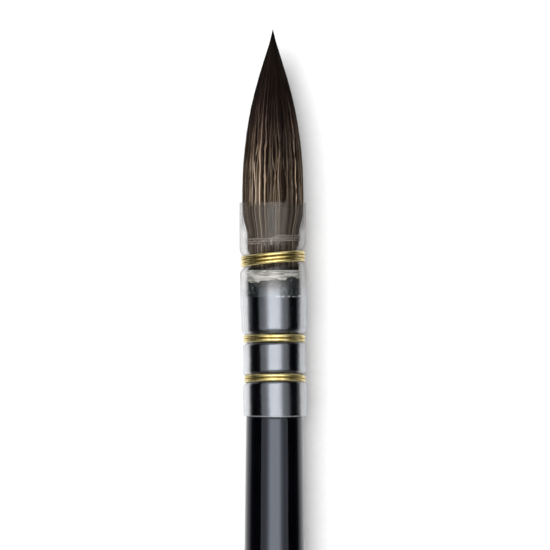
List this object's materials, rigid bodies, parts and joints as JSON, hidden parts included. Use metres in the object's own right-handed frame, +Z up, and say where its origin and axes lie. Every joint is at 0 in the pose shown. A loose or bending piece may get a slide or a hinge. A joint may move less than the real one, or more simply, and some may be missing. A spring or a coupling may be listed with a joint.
{
  "type": "quill mop brush",
  "caption": "Round pointed mop brush: soft hair held in a clear plastic quill that brass wires bind to a black lacquered wooden handle.",
  "frame": {"origin": "on the surface that the brush lies on, under the middle of its length", "axes": "+Y along the brush towards the hair's point, +Z up, +X to the right when the point is away from you"},
  "size_m": [0.0114, 0.2006, 0.0113],
  "materials": {
    "black_lacquer": "black gloss lacquer",
    "clear_quill": "clear flexible plastic tube, gloss",
    "squirrel_hair": "soft natural hair, fine strands",
    "white_glue": "dried white glue, uneven",
    "glue_film": "thin cloudy glue over black",
    "tie_thread": "waxed linen thread",
    "brass_wire": "drawn brass wire, bright, slightly tarnished"
  },
  "bodies": {
    "brush": {"handle": "black_lacquer", "quill_ferrule": "clear_quill", "hair_roots": "squirrel_hair", "root_glue_plug": "white_glue", "peg_glue_film": "glue_film", "tie_thread": "tie_thread", "upper_wire_binding": "brass_wire", "middle_wire_binding": "brass_wire", "lower_wire_binding": "brass_wire"},
    "hair": {"hair_tuft": "squirrel_hair"}
  },
  "joints": [
    {"name": "hair_bend", "type": "hinge", "parent": "brush", "child": "hair", "pos_m": [0, 0.0729, 0.00567], "axis": [0, 0, 1], "range_deg": [-35, 35], "stiffness_Nm_per_rad": 0.0008}
  ]
}
